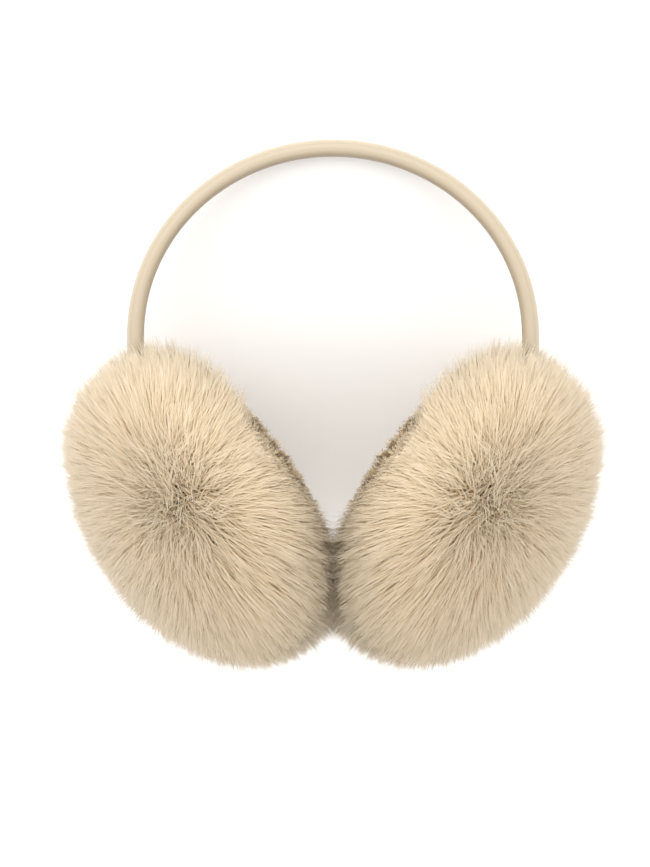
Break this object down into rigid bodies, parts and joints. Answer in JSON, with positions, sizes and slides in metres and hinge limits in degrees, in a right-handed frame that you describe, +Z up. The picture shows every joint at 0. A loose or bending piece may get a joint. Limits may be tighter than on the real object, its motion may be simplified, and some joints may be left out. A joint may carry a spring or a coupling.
{
  "type": "fur earmuffs",
  "caption": "Earmuffs with deep round fur pads and plush ear cushions on a slim, covered, sprung headband, lying on a table.",
  "frame": {"origin": "on the table, under the middle of the whole", "axes": "+Z up from the table, +X across the head from the wearer's left pad to the right one as the picture shows them, +Y from the pads towards the top of the headband"},
  "size_m": [0.2016, 0.1904, 0.1149],
  "materials": {
    "band_cover": "smooth satin cover, fine grain",
    "fur": "deep soft fur, darker at the roots",
    "plush": "short dense pile"
  },
  "bodies": {
    "root": {"headband": "band_cover", "fur_pad_left": "fur", "fur_pad_right": "fur", "ear_cushion_left": "plush", "ear_cushion_right": "plush"}
  },
  "joints": []
}
